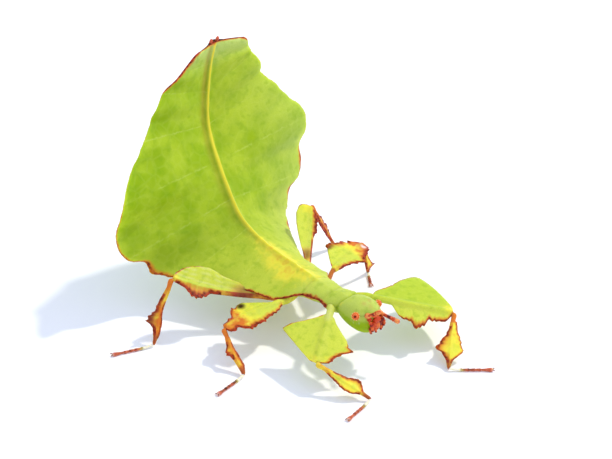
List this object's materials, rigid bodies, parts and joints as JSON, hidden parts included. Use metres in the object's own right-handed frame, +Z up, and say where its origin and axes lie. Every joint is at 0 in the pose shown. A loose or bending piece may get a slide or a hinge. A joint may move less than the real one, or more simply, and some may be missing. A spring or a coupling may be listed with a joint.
{
  "type": "leaf insect",
  "caption": "Leaf insect nymph standing on its six legs, flat leaf-shaped abdomen curled up over its back, legs with broad leafy lobes.",
  "frame": {"origin": "middle of the base of the bounding box, at the level of the floor that the feet stand on", "axes": "+Z up, the head points along -Y, the animal's own left is along +X"},
  "size_m": [0.0366, 0.0436, 0.0292],
  "materials": {
    "leaf": "satin, thin and leaf-like, lime to yellow-green with red-brown edges",
    "head": "satin, smooth pale green to grey-green shell",
    "eye": "glossy red-brown compound eye with an orange rim",
    "horn": "satin orange to dark red horn of the feelers, mouthparts and tail tips",
    "tibia": "satin orange-yellow with dark red-brown edges",
    "foot": "satin pink-red foot joints with paler bases"
  },
  "bodies": {
    "root": {"abdomen_1": "leaf", "abdomen_2": "leaf", "abdomen_3": "leaf", "abdomen_4": "leaf", "abdomen_5": "leaf", "abdomen_6": "leaf", "abdomen_7": "leaf", "abdomen_8": "leaf", "abdomen_9": "leaf", "metathorax": "leaf", "mesothorax": "leaf", "pronotum": "leaf", "head": "head", "eye_left": "eye", "antenna_left": "horn", "palp_left": "horn", "eye_right": "eye", "antenna_right": "horn", "palp_right": "horn", "mouthparts": "horn", "cercus_left": "horn", "cercus_right": "horn", "coxa_front_right": "leaf", "femur_front_right": "leaf", "tibia_front_right": "tibia", "tarsus_front_right": "foot", "coxa_front_left": "leaf", "femur_front_left": "leaf", "tibia_front_left": "tibia", "tarsus_front_left": "foot", "coxa_middle_right": "leaf", "femur_middle_right": "leaf", "tibia_middle_right": "tibia", "tarsus_middle_right": "foot", "coxa_middle_left": "leaf", "femur_middle_left": "leaf", "tibia_middle_left": "tibia", "tarsus_middle_left": "foot", "coxa_hind_right": "leaf", "femur_hind_right": "leaf", "tibia_hind_right": "tibia", "tarsus_hind_right": "foot", "coxa_hind_left": "leaf", "femur_hind_left": "leaf", "tibia_hind_left": "tibia", "tarsus_hind_left": "foot"}
  },
  "joints": []
}
